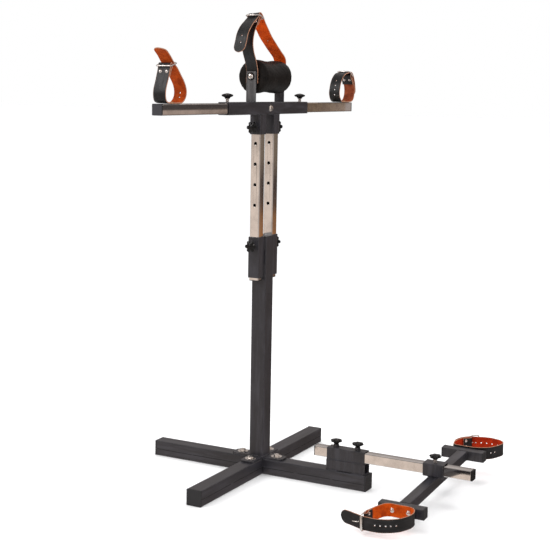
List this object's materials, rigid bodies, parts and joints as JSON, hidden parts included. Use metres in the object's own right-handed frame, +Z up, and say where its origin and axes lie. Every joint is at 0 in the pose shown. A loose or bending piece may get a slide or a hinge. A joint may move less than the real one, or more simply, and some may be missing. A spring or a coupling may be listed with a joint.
{
  "type": "adjustable restraint stand",
  "caption": "Floor stand with a cross base and square column, a telescoping crossbar with strap cuffs and a padded roller, and a sliding ankle bar with cuffs.",
  "frame": {"origin": "on the floor, under the middle of the column where the base tubes cross", "axes": "+Z up the column, +X along the base tube that carries the ankle bar, Y along the crossbar"},
  "size_m": [0.88, 0.9883, 1.1524],
  "materials": {
    "black_paint": "semi-gloss black powder coat",
    "plating": "bright plated tube",
    "bright_steel": "bright zinc-plated steel",
    "black_plastic": "moulded black plastic",
    "strap_leather": "black outer face, rust-orange inner face, raw tan edges",
    "roller_cover": "smooth dark cover over foam"
  },
  "bodies": {
    "stand": {"base_long_tube": "black_paint", "base_left_tube": "black_paint", "base_right_tube": "black_paint", "base_end_caps": "black_plastic", "column_tube": "black_paint", "column_foot": "black_paint", "column_cap": "black_paint", "foot_bolts": "bright_steel", "foot_washers": "bright_steel", "lower_sleeve_front": "black_paint", "lower_sleeve_rear": "black_paint", "ankle_spacer": "black_paint", "ankle_sleeve": "black_paint"},
    "posts": {"post_front": "plating", "post_rear": "plating", "post_plugs": "black_plastic"},
    "head": {"upper_sleeve_front": "black_paint", "upper_sleeve_rear": "black_paint", "bar_sleeve": "black_paint", "bar_stop_bolt": "bright_steel", "roller_bracket_near": "black_paint", "roller_bracket_far": "black_paint", "roller_axle": "bright_steel", "axle_washers": "black_plastic", "neck_strap_buckle_side": "strap_leather", "neck_strap_tail_side": "strap_leather", "neck_buckle": "bright_steel", "neck_rivets": "bright_steel"},
    "roller": {"roller_pad": "roller_cover", "roller_core": "black_plastic"},
    "near_arm": {"arm_near": "plating", "arm_near_cap": "black_plastic", "wrist_cuff_near": "strap_leather", "wrist_buckle_near": "bright_steel", "wrist_fasteners_near": "bright_steel"},
    "far_arm": {"arm_far": "plating", "arm_far_cap": "black_plastic", "wrist_cuff_far": "strap_leather", "wrist_buckle_far": "bright_steel", "wrist_fasteners_far": "bright_steel"},
    "ankle_bar": {"ankle_tube": "plating", "ankle_tube_caps": "black_plastic"},
    "spreader": {"spreader_sleeve_block": "black_paint", "spreader_tube": "black_paint", "cross_tube_front": "black_paint", "cross_tube_rear": "black_paint", "cross_tube_caps": "black_plastic", "ankle_cuff_front": "strap_leather", "ankle_cuff_rear": "strap_leather", "ankle_buckles": "bright_steel", "ankle_fasteners": "bright_steel"},
    "knob_post_front": {"knob_post_front": "black_plastic"},
    "knob_post_rear": {"knob_post_rear": "black_plastic"},
    "knob_head_front": {"knob_head_front": "black_plastic"},
    "knob_head_rear": {"knob_head_rear": "black_plastic"},
    "knob_arm_near": {"knob_arm_near": "black_plastic"},
    "knob_arm_far": {"knob_arm_far": "black_plastic"},
    "knob_ankle_inner": {"knob_ankle_inner": "black_plastic"},
    "knob_ankle_outer": {"knob_ankle_outer": "black_plastic"},
    "knob_spreader": {"knob_spreader": "black_plastic"}
  },
  "joints": [
    {"name": "post_height", "type": "slide", "parent": "stand", "child": "posts", "axis": [0, 0, 1], "range_m": [-0.24, 0.06]},
    {"name": "head_lift", "type": "slide", "parent": "posts", "child": "head", "axis": [0, 0, 1], "range_m": [-0.004, 0.02]},
    {"name": "near_arm_slide", "type": "slide", "parent": "head", "child": "near_arm", "axis": [0, -1, 0], "range_m": [-0.03, 0.1]},
    {"name": "far_arm_slide", "type": "slide", "parent": "head", "child": "far_arm", "axis": [0, 1, 0], "range_m": [-0.03, 0.1]},
    {"name": "roller_spin", "type": "hinge", "parent": "head", "child": "roller", "pos_m": [0, 0, 1.0015], "axis": [0, 1, 0], "continuous": true},
    {"name": "ankle_reach", "type": "slide", "parent": "stand", "child": "ankle_bar", "axis": [1, 0, 0], "range_m": [-0.1, 0.035]},
    {"name": "spreader_slide", "type": "slide", "parent": "ankle_bar", "child": "spreader", "axis": [1, 0, 0], "range_m": [-0.05, 0.06]},
    {"name": "knob_post_front_turn", "type": "hinge", "parent": "stand", "child": "knob_post_front", "pos_m": [0, -0.05, 0.588], "axis": [0, -1, 0], "continuous": true},
    {"name": "knob_post_rear_turn", "type": "hinge", "parent": "stand", "child": "knob_post_rear", "pos_m": [0, 0.05, 0.588], "axis": [0, 1, 0], "continuous": true},
    {"name": "knob_head_front_turn", "type": "hinge", "parent": "head", "child": "knob_head_front", "pos_m": [0, -0.05, 0.879], "axis": [0, -1, 0], "continuous": true},
    {"name": "knob_head_rear_turn", "type": "hinge", "parent": "head", "child": "knob_head_rear", "pos_m": [0, 0.05, 0.879], "axis": [0, 1, 0], "continuous": true},
    {"name": "knob_arm_near_turn", "type": "hinge", "parent": "head", "child": "knob_arm_near", "pos_m": [0, -0.187, 0.9405], "axis": [0, 0, 1], "continuous": true},
    {"name": "knob_arm_far_turn", "type": "hinge", "parent": "head", "child": "knob_arm_far", "pos_m": [0, 0.187, 0.9405], "axis": [0, 0, 1], "continuous": true},
    {"name": "knob_ankle_inner_turn", "type": "hinge", "parent": "stand", "child": "knob_ankle_inner", "pos_m": [0.216, 0, 0.097], "axis": [0, 0, 1], "continuous": true},
    {"name": "knob_ankle_outer_turn", "type": "hinge", "parent": "stand", "child": "knob_ankle_outer", "pos_m": [0.274, 0, 0.097], "axis": [0, 0, 1], "continuous": true},
    {"name": "knob_spreader_turn", "type": "hinge", "parent": "spreader", "child": "knob_spreader", "pos_m": [0.477, -0.00103, 0.09797], "axis": [0, -0.0645, 0.9979], "continuous": true}
  ]
}
